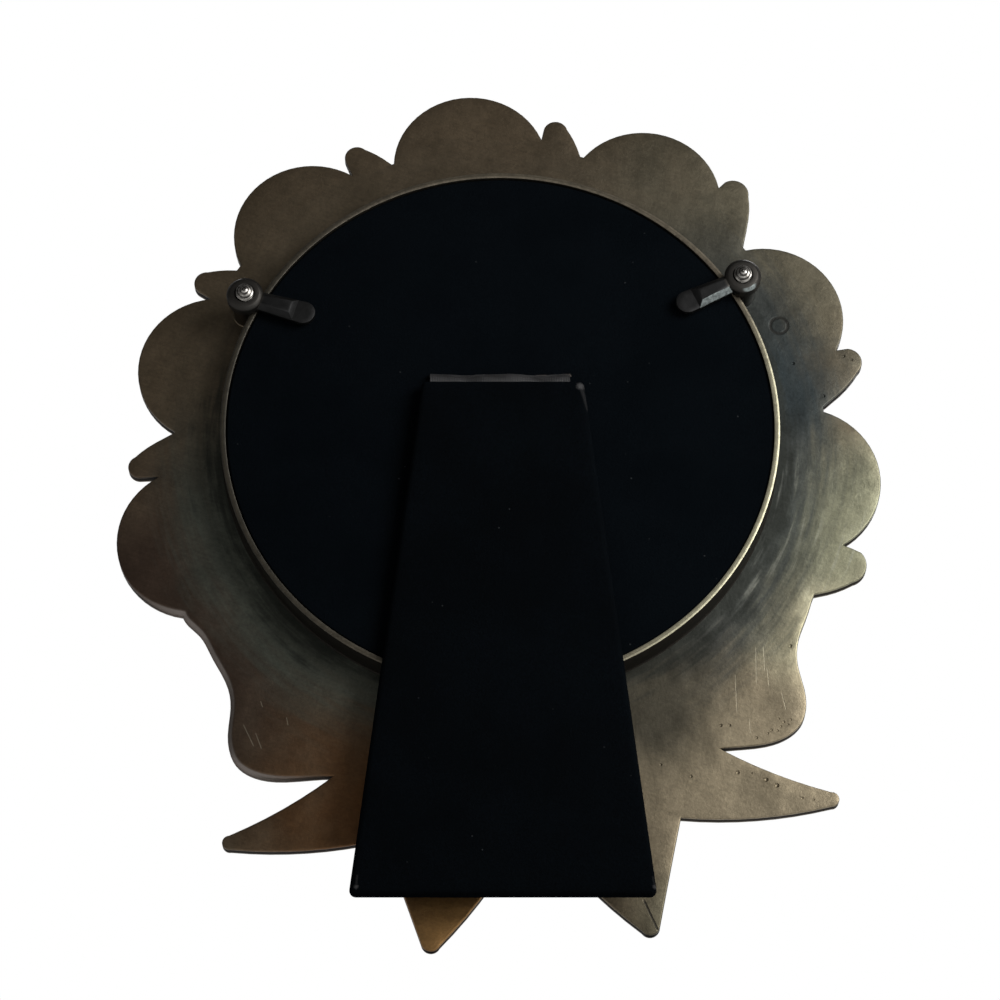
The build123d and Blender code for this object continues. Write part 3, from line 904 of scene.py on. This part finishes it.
def bow_rise(u, v):
    """Return the height of the bow: pleated loops with hollow eyes, creased tails and the knot."""
    x, y = np.abs(u), v - BOW_V
    reach, turn = np.hypot(x, y), np.arctan2(y, x)
    bow = ease(SHOULDER[0] + SHOULDER[1] * x - y, 0.0, 1.8) * ease(np.hypot(u, v), 47.6, 49.6)
    tails = TAIL_H * (0.9 + 0.1 * np.cos(reach * 0.5 + turn * 5))
    for axis in TAIL_AXES:
        off = reach * np.sin(turn - axis)
        tails += 0.45 * np.exp(-(off / 0.9) ** 2) * ease(reach, 8, 16) * ease(reach, 52, 40)
        tails -= 0.35 * np.exp(-((np.abs(off) - 2.6) / 0.8) ** 2) * ease(reach, 6, 14)
    pleats = 0.5 * np.cos(turn * 17 + 0.6) * ease(reach, 36, 7)
    dx, dy = x - EYE[0], y - EYE[1]
    along, across = dx * EYE_COS + dy * EYE_SIN, dy * EYE_COS - dx * EYE_SIN
    eye = np.hypot(along / EYE_RADII[0], across / EYE_RADII[1])
    loops = LOOP_H + pleats - EYE_DEPTH * ease(eye, 1.1, 0.75) + 0.5 * np.exp(-((eye - 1.3) / 0.22) ** 2)
    rise = np.maximum(tails * bow, loops * bow * ease(y, NOTCH_V - 0.2, NOTCH_V + 0.9))
    block = (x / KNOT_HALF[0]) ** 4 + (y / KNOT_HALF[1]) ** 4
    knot = KNOT_H - 0.55 * block + 0.22 * np.cos(x * 2.1 + 0.12 * y * y)
    return np.maximum(rise, knot * ease(block, 1.05, 0.7))


def front_rise(u, v, rim):
    """Return how far the front stands out of the plate, falling to nothing at the rim."""
    rise = np.sqrt(np.maximum(BEAD_R ** 2 - (np.hypot(u, v) - OPENING_R - BEAD_R) ** 2, 0))
    rise = np.maximum(rise, bow_rise(u, v))
    for place, (middle, lag, out, wide) in enumerate(zip(rose_middles(), LEAF_LAG, LEAF_OUT, LEAF_WIDE)):
        angle = atan2(middle[1], middle[0])
        leaf = leaf_rise(u, v, angle - radians(lag), COLLAR_R + out, wide)
        rose = rose_rise(u, v, middle, angle + place * ROSE_SPIN)
        rise = np.maximum(rise, np.maximum(leaf, rose))
    return rise * ease(rim, 0.0, 1.1)


def stud_middle(side):
    return middle_of(f"{side}_clip_turn")


def add_boss(shape, side):
    """Add the post that carries one stud, kept clear of the collar."""
    boss = Shape()
    profile = [(BOSS_R + BOSS_FOOT, 0.0), (BOSS_R, BOSS_FOOT), (BOSS_R, BOSS_TOP_W - BOSS_EDGE),
               (BOSS_R - 0.07, BOSS_TOP_W - 0.07), (BOSS_R - BOSS_EDGE, BOSS_TOP_W), (STUD_R, BOSS_TOP_W)]
    boss.revolve(profile, stud_middle(side), STUD_SIDES)
    reach = np.linalg.norm(boss.points[:, :2], axis=1)
    boss.points[:, :2] *= (np.maximum(reach, COLLAR_OUT_R + 0.02) / reach)[:, None]
    shape.add(boss.points, boss.faces)


def mark_wear(made):
    """Store how far each point of the front stands above or below the surface round it."""
    mesh = made.data
    ends = np.zeros(len(mesh.edges) * 2, int)
    mesh.edges.foreach_get("vertices", ends)
    a, b = ends.reshape(-1, 2).T
    place = np.zeros(len(mesh.vertices) * 3)
    mesh.vertices.foreach_get("co", place)
    height = (PLATE_Y - place.reshape(-1, 3)[:, 1]) / MM - PLATE_T
    count = np.bincount(a, minlength=len(height)) + np.bincount(b, minlength=len(height))
    even = height.copy()
    for _ in range(WEAR_SPREAD):
        total = np.bincount(a, even[b], len(height)) + np.bincount(b, even[a], len(height))
        even = total / np.maximum(count, 1)
    wear = np.where(height > -0.3, height - even, 0.0)
    mesh.attributes.new("wear", "FLOAT", "POINT").data.foreach_set("value", wear.astype(np.float32))


def add_pits(shape):
    """Sink small casting pits into the back, and return their rims."""
    rims = []
    for u, v, radius in PITS:
        shape.revolve([(0.0, -0.7 * radius), (0.6 * radius, -0.5 * radius), (radius, 0.0)], (u, v), 12)
        rims.append(circle(radius, 12, (u, v)))
    return rims


def casting():
    """Make the cast plate: rounded edges, plain back with pits and stud posts, and the sculpted front."""
    outline = back_outline()
    into = inward(outline)
    from_pale = np.linalg.norm(outline - PALE_EDGE, axis=1)
    rounding = BACK_EDGE_R + PALE_EDGE_R * ease(from_pale, *reversed(PALE_REACH))
    front_loop, back_loop = outline + into * FRONT_EDGE_R, outline + into * rounding[:, None]

    def sculpted(flat):
        return -PLATE_T - front_rise(*flat.T, rim_distance(flat, front_loop))

    shape = Shape()
    front_edge = fillet(outline, into, FRONT_EDGE_R, -PLATE_T, False)
    shape.loft(front_edge + fillet(outline, into, rounding, 0.0, True))
    shape.cover(back_loop, [circle(COLLAR_R), *add_pits(shape)], BACK_STEP, 0.0)
    shape.cover(front_loop, [circle(OPENING_R)], FRONT_STEP, sculpted, flip=True)
    shape.revolve([(COLLAR_R, 0.0), (COLLAR_R, SEAT_W), (OPENING_R, SEAT_W), (OPENING_R, -PLATE_T)])
    for side in ARM_ANGLES:
        add_boss(shape, side)
    made = piece("wreath_casting", shape, bronze(), ["frame_casting"], "frame")
    mark_wear(made)


def collar():
    """Make the collar: a thin upright ring with a flat rim and barely softened edges."""
    edge, foot = COLLAR_EDGE, COLLAR_FOOT
    profile = [(COLLAR_R, 0.0), (COLLAR_OUT_R + foot, 0.0), (COLLAR_OUT_R, foot),
               (COLLAR_OUT_R, RIM_W - edge), (COLLAR_OUT_R - 0.03, RIM_W - 0.03),
               (COLLAR_OUT_R - edge, RIM_W), (COLLAR_R + edge, RIM_W), (COLLAR_R + 0.03, RIM_W - 0.03),
               (COLLAR_R, RIM_W - edge), (COLLAR_R, 0.0)]
    shape = Shape()
    shape.revolve(profile, count=360)
    piece("collar", shape, collar_brass(), ["collar_ring"], "frame")


# Studs and clips

def stud(side, paint):
    """Make one stud, with a helical thread on its free end."""
    middle = stud_middle(side)
    thread_from = CLIP_TOP_W - 0.6
    rings = [at_level(circle(STUD_R, STUD_SIDES, middle), w) for w in (STUD_LOW_W, thread_from)]
    turns = np.linspace(0, 1, STUD_SIDES, endpoint=False)
    for w in np.arange(thread_from, STUD_TOP_W - 0.12, THREAD_PITCH / THREAD_STEPS):
        phase = (w / THREAD_PITCH - turns) % 1.0
        radius = min(STUD_R, 0.5 + (STUD_TOP_W - w) * 0.95) - THREAD_DEPTH * np.abs(2 * phase - 1) ** 1.3
        rings.append(at_level(middle + circle(1.0, STUD_SIDES) * radius[:, None], w))
    for radius, drop in STUD_TIP:
        rings.append(at_level(circle(radius, STUD_SIDES, middle), STUD_TOP_W - drop))
    shape = Shape()
    shape.loft(rings)
    piece(f"{side}_threaded_stud", shape, paint, [f"{side}_stud"], "frame", sharp=60)


def arm_half(reach):
    """Return half the width of a clip's arm at a distance from its stud."""
    return ARM_NECK + (ARM_TIP_R - ARM_NECK) * reach / (ARM_LENGTH - ARM_TIP_R)


def pad_plan():
    """Return the plan of a clip's arm: a flaring bar with a round end."""
    end = ARM_LENGTH - ARM_TIP_R
    sweep = np.linspace(-pi / 2, pi / 2, 25)
    tip = np.column_stack([end + ARM_TIP_R * np.cos(sweep), ARM_TIP_R * np.sin(sweep)])
    reach = np.linspace(end, ARM_ROOT, 9)[1:]
    flank = np.column_stack([reach, arm_half(reach)])
    return np.vstack([tip, flank, flank[::-1] * (1, -1)])


def ridge_plan():
    """Return the plan of the ridge that runs along the arm, at its foot."""
    near, far = arm_half(RIDGE_ROOT), arm_half(RIDGE_END)
    return np.array([(RIDGE_ROOT, -near), (RIDGE_END, -far), (RIDGE_END, far), (RIDGE_ROOT, near)])


def clip(side, paint):
    """Make one turn clip: a bored hub, and a thin arm with a ridge of sloping flanks."""
    low, top, middle = CLIP_LOW_W, CLIP_TOP_W, stud_middle(side)
    shoulder_r, shoulder_w = HUB_R - HUB_CHAMFER, top - HUB_CHAMFER
    shape = Shape()
    hub = [(BORE_R, low), (HUB_R - 0.15, low), (HUB_R, low + 0.15), (HUB_R, shoulder_w - 0.1),
           (HUB_R - 0.07, shoulder_w + 0.07), (shoulder_r + 0.07, top - 0.07), (shoulder_r - 0.1, top),
           (BORE_R + 0.15, top), (BORE_R, top - 0.15), (BORE_R, low)]
    shape.revolve(hub, middle, 64)
    angle = ARM_ANGLES[side]
    spin = np.array([[cos(angle), sin(angle)], [-sin(angle), cos(angle)]])
    pad_steps = ((0.15, 0.0), (0.0, 0.15), (0.0, ARM_T - 0.22), (0.06, ARM_T - 0.07), (0.22, ARM_T))
    ridge_steps = ((0.0, ARM_T - 0.1), (0.1, ARM_T + 0.06), (RIDGE_H - 0.16, ARM_T + RIDGE_H - 0.18),
                   (RIDGE_H - 0.04, ARM_T + RIDGE_H - 0.05), (RIDGE_H + 0.14, ARM_T + RIDGE_H))
    for plan, steps, has_foot in ((pad_plan(), pad_steps, True), (ridge_plan(), ridge_steps, False)):
        into = inward(plan)
        rings = [at_level((plan + into * inset) @ spin + middle, low + rise) for inset, rise in steps]
        shape.loft(rings)
        shape.cover(rings[-1][:, :2], [], ARM_STEP, rings[-1][0, 2])
        if has_foot:
            shape.cover(rings[0][:, :2], [], ARM_STEP, low, flip=True)
    piece(f"{side}_clip", shape, paint, [f"{side}_turn_clip"], f"{side}_turnbutton", sharp=32)


# Velvet back, strut and ribbons

def ripple(u, v, size):
    """Return a gentle unevenness between -1 and 1."""
    along = np.sin(u / size + 1.3 * np.sin(v / size * 0.7))
    return (along + np.sin(v / size * 1.1 + 1.7 * np.sin(u / size * 0.6))) / 2


def velvet_back(paint):
    """Make the velvet over the round back, dipping into the slot where the ribbon comes out."""
    edge = circle(BACK_R)
    into = inward(edge)
    top = edge + into * BACK_EDGE
    middle = np.array([0.0, HINGE_V + RIBBON_BEND + SLOT_RISE])
    slot = spaced(middle + np.multiply(SLOT_HALF, SQUARE), SLOT_STEP)

    def lift(flat):
        lip = np.linalg.norm(np.maximum(np.abs(flat - middle) - SLOT_HALF, 0), axis=1)
        padded = BACK_TOP_W - VELVET_WAVE + VELVET_WAVE * ripple(*flat.T, 4.0) - 0.3 * ease(lip, 0.9, 0.0)
        return np.where(rim_distance(flat, top) < 0.01, BACK_TOP_W, padded)

    shape = Shape()
    shape.loft([at_level(edge, BACK_LOW_W)] + fillet(edge, into, BACK_EDGE, BACK_TOP_W, True))
    shape.cover(top, [slot], 1.3, lift)
    shape.loft([at_level(slot, lift(slot)), at_level(slot, BACK_LOW_W + 0.3)])
    made = piece("velvet_back", shape, paint, ["back_velvet"], "easel_back", BACK_TURN)


def strut_plan(inset):
    """Return the strut's tapered outline, drawn in on every side."""
    foot = STRUT_HEAD - STRUT_L
    corners = [(-STRUT_FOOT_W2, foot), (STRUT_FOOT_W2, foot),
               (STRUT_TOP_W2, STRUT_HEAD), (-STRUT_TOP_W2, STRUT_HEAD)]
    loop = spaced(rounded(np.array(corners) + (STRUT_SHIFT, 0.0), STRUT_CORNER), 1.2)
    return loop + inward(loop) * inset


def velvet_strut(paint):
    """Make the velvet wrapped round the strut: padded edges and a turned-in hem."""
    low, high = STRUT_LOW_W, STRUT_TOP_W
    wrap = ((LINING_INSET, low + 0.06), (0.3, low + 0.1), (0.05, low + 0.3), (0.0, low + 0.65),
            (0.0, low + 0.95), (0.06, high - 0.75), (0.25, high - 0.32), (0.6, high - 0.1),
            (0.95, high - 0.02))
    rings = [at_level(strut_plan(inset), w) for inset, w in wrap]
    top, top_w = rings[-1][:, :2], wrap[-1][1]

    def padded(flat):
        return top_w - VELVET_WAVE * ease(rim_distance(flat, top), 0, 3) * (1 + ripple(*flat.T, 5.0))

    shape = Shape()
    shape.loft(rings)
    shape.cover(top, [], 1.6, padded)
    made = piece("velvet_strut", shape, paint, ["strut_velvet"], "easel_strut", BACK_TURN)


def lining_of_strut(paint):
    """Make the cloth on the strut's inner face."""
    plan = strut_plan(LINING_INSET)
    low, high = STRUT_LOW_W, STRUT_LOW_W + LINING_T
    shape = Shape()
    shape.loft([at_level(plan, low), at_level(plan, high)])
    shape.cover(plan, [], 3.0, low, flip=True)
    shape.cover(plan, [], 3.0, high)
    made = piece("strut_cloth", shape, paint, ["strut_lining"], "easel_strut", BACK_TURN)


def strip(path, width, thickness, columns, rumple=None):
    """Return a thin ribbon swept across u, and its length along the path."""
    path = np.asarray(path, float)
    along = unit(np.gradient(path, axis=0))
    out = np.column_stack([-along[:, 1], along[:, 0]]) * thickness / 2
    across = np.linspace(-width / 2, width / 2, columns)
    lines = []
    for face, places in ((path - out, across), (path + out, across[::-1])):
        for u in places:
            line = face + rumple(u, path) if rumple else face
            lines.append(np.column_stack([np.full(len(path), u), line]))
    rings = list(np.stack(lines, axis=1))
    shape = Shape()
    shape.loft(rings)
    last = 2 * columns - 1
    ends = [(place, place + 1, last - 1 - place, last - place) for place in range(columns - 1)]
    shape.add(rings[0], [face[::-1] for face in ends])
    shape.add(rings[-1], ends)
    return shape, np.linalg.norm(np.diff(path, axis=0), axis=1).sum()


def arc(middle, radius, start, end, count):
    """Return points along an arc between two angles in degrees."""
    angles = np.linspace(radians(start), radians(end), count)
    return [tuple(middle + polar(radius, angle)) for angle in angles]


def hang_ribbon(made):
    """Bake a ribbon's placing into its points."""
    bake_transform(made)


def ribbon_hinge(paint):
    """Make the hinge ribbon: out of the back, over the hinge line and into the strut's head."""
    bend = RIBBON_BEND
    tab_w = BACK_LOW_W + RIBBON_T / 2
    slot_v = HINGE_V + bend
    path = [(slot_v + RIBBON_TAB, tab_w), (slot_v + 4.0, tab_w)]
    path += arc((slot_v + 0.4, tab_w + 0.4), 0.4, 270, 180, 5)
    path += [(slot_v, BACK_TOP_W - 0.6)]
    for angle in np.linspace(0, pi / 2, 13):
        path.append((HINGE_V + (bend + 0.42) * cos(angle), BACK_TOP_W - 0.05 + (bend + 0.05) * sin(angle)))
    path += [(STRUT_HEAD, BACK_TOP_W + bend), (STRUT_HEAD - RIBBON_TAB, BACK_TOP_W + bend)]

    def rumple(u, line):
        v, w = line.T
        free = ease(w, BACK_TOP_W - 0.2, BACK_TOP_W + 0.5) * ease(v, STRUT_HEAD, HINGE_V + 0.3)
        pinch = np.exp(-((u + 5.6) / 1.7) ** 2) + np.exp(-((u - 6.4) / 2.1) ** 2)
        shift = free * (0.05 * np.sin(u * 0.9) - 0.5 * pinch)
        return np.column_stack([shift, 0.6 * shift])

    shape, length = strip(path, RIBBON_W, RIBBON_T, 70, rumple)
    made = piece("ribbon_hinge", shape, paint, ["hinge_ribbon"], turn=BACK_TURN, sharp=70)
    hang_ribbon(made)


def ribbon_stay(paint):
    """Make the stay ribbon, folded flat between the back and the strut."""
    low, high = BACK_TOP_W + STAY_T / 2, STRUT_LOW_W - STAY_T / 2
    half = (high - low) / 2
    path = [(STAY_FOLD_V + reach, low) for reach in np.linspace(STAY_LEG, 0.5, 10)]
    path += arc((STAY_FOLD_V, low + half), half, 270, 90, 25)
    path += [(STAY_FOLD_V + reach, high) for reach in np.linspace(0.5, STAY_LEG, 10)]
    shape, length = strip(path, STAY_W, STAY_T, 8)
    made = piece("ribbon_stay", shape, paint, ["stay_ribbon"], turn=BACK_TURN, sharp=70)
    hang_ribbon(made)


def dress_cad_nodes():
    """Give the flat pieces inside, whose solids are right, their own finishes."""
    finishes = {
        "glass_disc": clear_glass(),
        "photo_print": photo_paper(),
        "filler_card": card("grey_card", (140, 134, 122), (172, 166, 152), 0.8),
        "back_lining": card("lining_paper", (30, 30, 33), (44, 44, 47), 0.6),
        "back_board": card("fibre_board", (38, 34, 30), (54, 48, 42), 1.2),
        "strut_board": card("strut_fibre_board", (38, 34, 30), (54, 48, 42), 1.2),
    }
    for node, paint in finishes.items():
        mesh = frame["nodes"][node].data
        mesh.materials.clear()
        mesh.materials.append(paint)


# Camera, light and floor

def camera():
    """Look up at the back from the photo's place, with the strut's length upright in the picture."""
    across = Vector((-cos(BACK_TURN), 0, sin(BACK_TURN)))
    up = Vector((sin(BACK_TURN), 0, cos(BACK_TURN)))
    out = Vector((0, 1, 0))
    target = Vector(row([(0, 0, RIM_W)])[0])
    back = cos(CAMERA_TILT) * out - sin(CAMERA_TILT) * up
    pitch = atan2(PICTURE_PX / 2 - RIM_MIDDLE_PX[1], FOCAL_PX)
    head = cos(CAMERA_TILT) * up + sin(CAMERA_TILT) * out
    place = target + back * CAMERA_FAR * MM
    away = cos(pitch) * back + sin(pitch) * head
    upward = away.cross(across)
    data = bpy.data.cameras.new("camera")
    data.sensor_width = SENSOR_MM
    data.lens = FOCAL_PX / PICTURE_PX * SENSOR_MM
    data.clip_start = 0.01
    made = in_scene("camera", data)
    turn = Matrix((across, upward, away)).transposed().to_4x4()
    made.matrix_world = Matrix.Translation(place) @ turn
    bpy.context.scene.camera = made


def lamp(name, place, size, watts, aim=(0, 0, 0)):
    """Hang a soft square lamp at a drawn place in millimetres, facing another."""
    data = bpy.data.lights.new(name, "AREA")
    data.size = size * MM
    data.energy = watts
    made = in_scene(name, data)
    start, end = (Vector(point) for point in row([place, aim]))
    made.location = start
    made.rotation_mode = "QUATERNION"
    made.rotation_quaternion = (end - start).to_track_quat("-Z", "Y")


def world():
    """Show a white background, also in metal and glass, and a dim room in front of the object's back."""
    made = bpy.data.worlds.new("studio")
    bpy.context.scene.world = made
    sky = Nodes(made)
    way = sky.add("SeparateXYZ", {0: sky.add("TexCoord", output="Generated")}, output="Y")
    room = sky.span(way, *ROOM_SPAN, 1.0, ROOM_LEVEL)
    level = SOFT_LEVEL
    for kind, seen in (("Glossy", room), ("Transmission", 1.0), ("Camera", 1.0)):
        level = sky.add("Mix", {0: sky.rays(kind), 2: level, 3: seen})
    sky.put(sky.nodes["Background"].inputs["Color"], WHITE)
    sky.put(sky.nodes["Background"].inputs["Strength"], level)


def floor():
    """Lay a pale floor that shows from above and lets the low camera look up through it."""
    mesh = bpy.data.meshes.new("floor")
    mesh.from_pydata([(x * FLOOR_HALF, y * FLOOR_HALF, 0) for x, y in SQUARE], [], [(0, 1, 2, 3)])
    made = in_scene("floor", mesh)
    paint = bpy.data.materials.new("pale_floor")
    look = Nodes(paint)
    shader = look.nodes["Principled BSDF"]
    shader.inputs["Base Color"].default_value = FLOOR_GREY
    shader.inputs["Roughness"].default_value = 0.8
    look.put(shader.inputs["Emission Color"], WHITE)
    place = look.add("NewGeometry", output="Position")
    reach = look.add("VectorMath", {0: place}, output="Value", operation="LENGTH")
    glow = look.span(reach, *GLOW_SPAN, FLOOR_GLOW, 1.0, how="LINEAR")
    seen = look.rays("Camera", "Glossy", "Transmission")
    look.put(shader.inputs["Emission Strength"], look.times(seen, glow))
    look.open_up(look.add("NewGeometry", output="Backfacing"), shader)
    mesh.materials.append(paint)


def build():
    camera()
    casting()
    collar()
    for side in ARM_ANGLES:
        stud(side, stud_steel(side))
        clip(side, dark_nickel(side))
    velvet_back(velvet("back_velvet_nap", (4, 6, 8), (8, 11, 14)))
    velvet_strut(velvet("strut_velvet_nap", (4, 5, 6), (7, 10, 13), WORN_STRUT))
    lining_of_strut(cloth("strut_lining_cloth", (16, 16, 18), (28, 28, 31), 0.5, 0.05))
    ribbon_hinge(cloth("grey_satin_ribbon", (7, 7, 7), (19, 18, 19), 0.2, 0.03))
    ribbon_stay(cloth("black_satin_ribbon", (18, 18, 20), (34, 34, 37), 0.2, 0.08))
    dress_cad_nodes()
    world()
    floor()
    lamp("window", place=(270, 60, 270), size=220, watts=2.0, aim=(20, -20, 0))
    lamp("front", place=(120, 350, -500), size=500, watts=4.0)


build()
bpy.context.scene.view_settings.view_transform = "Standard"
bpy.context.view_layer.update()
